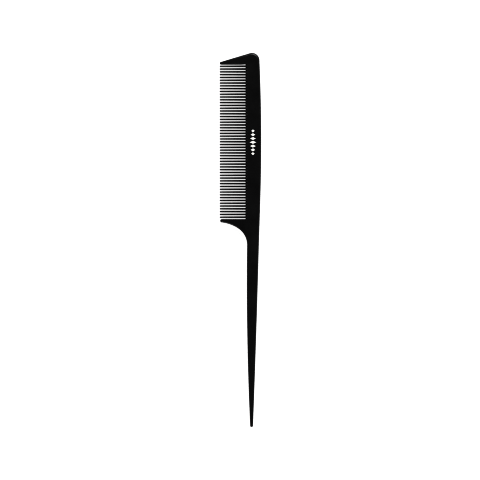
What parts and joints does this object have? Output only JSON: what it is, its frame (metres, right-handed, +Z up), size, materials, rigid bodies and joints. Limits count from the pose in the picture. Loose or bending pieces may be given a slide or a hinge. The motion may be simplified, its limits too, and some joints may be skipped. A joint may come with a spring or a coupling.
{
  "type": "rat tail comb",
  "caption": "Flat black hairdressing comb: a rounded spine carries fine straight teeth between two guard teeth, and a long tapering tail ends in a rounded point.",
  "frame": {"origin": "under the centre of the comb's box, on the surface that the comb lies flat on", "axes": "+X along the comb, from the head to the tip of the tail; +Y across it, from the tooth tips to the back; +Z up, through its thickness"},
  "size_m": [0.226, 0.025, 0.004],
  "materials": {
    "comb_plastic": "satin black moulded plastic",
    "mark_ink": "white pad-printed ink"
  },
  "bodies": {
    "root": {"spine": "comb_plastic", "front_guard_tooth": "comb_plastic", "rear_guard_tooth": "comb_plastic", "tail": "comb_plastic", "tooth_01": "comb_plastic", "tooth_02": "comb_plastic", "tooth_03": "comb_plastic", "tooth_04": "comb_plastic", "tooth_05": "comb_plastic", "tooth_06": "comb_plastic", "tooth_07": "comb_plastic", "tooth_08": "comb_plastic", "tooth_09": "comb_plastic", "tooth_10": "comb_plastic", "tooth_11": "comb_plastic", "tooth_12": "comb_plastic", "tooth_13": "comb_plastic", "tooth_14": "comb_plastic", "tooth_15": "comb_plastic", "tooth_16": "comb_plastic", "tooth_17": "comb_plastic", "tooth_18": "comb_plastic", "tooth_19": "comb_plastic", "tooth_20": "comb_plastic", "tooth_21": "comb_plastic", "tooth_22": "comb_plastic", "tooth_23": "comb_plastic", "tooth_24": "comb_plastic", "tooth_25": "comb_plastic", "tooth_26": "comb_plastic", "tooth_27": "comb_plastic", "tooth_28": "comb_plastic", "tooth_29": "comb_plastic", "tooth_30": "comb_plastic", "tooth_31": "comb_plastic", "tooth_32": "comb_plastic", "tooth_33": "comb_plastic", "tooth_34": "comb_plastic", "tooth_35": "comb_plastic", "tooth_36": "comb_plastic", "tooth_37": "comb_plastic", "tooth_38": "comb_plastic", "tooth_39": "comb_plastic", "tooth_40": "comb_plastic", "tooth_41": "comb_plastic", "tooth_42": "comb_plastic", "tooth_43": "comb_plastic", "tooth_44": "comb_plastic", "tooth_45": "comb_plastic", "tooth_46": "comb_plastic", "tooth_47": "comb_plastic", "tooth_48": "comb_plastic", "tooth_49": "comb_plastic", "tooth_50": "comb_plastic", "tooth_51": "comb_plastic", "tooth_52": "comb_plastic", "tooth_53": "comb_plastic", "tooth_54": "comb_plastic", "tooth_55": "comb_plastic", "printed_mark": "mark_ink"}
  },
  "joints": []
}
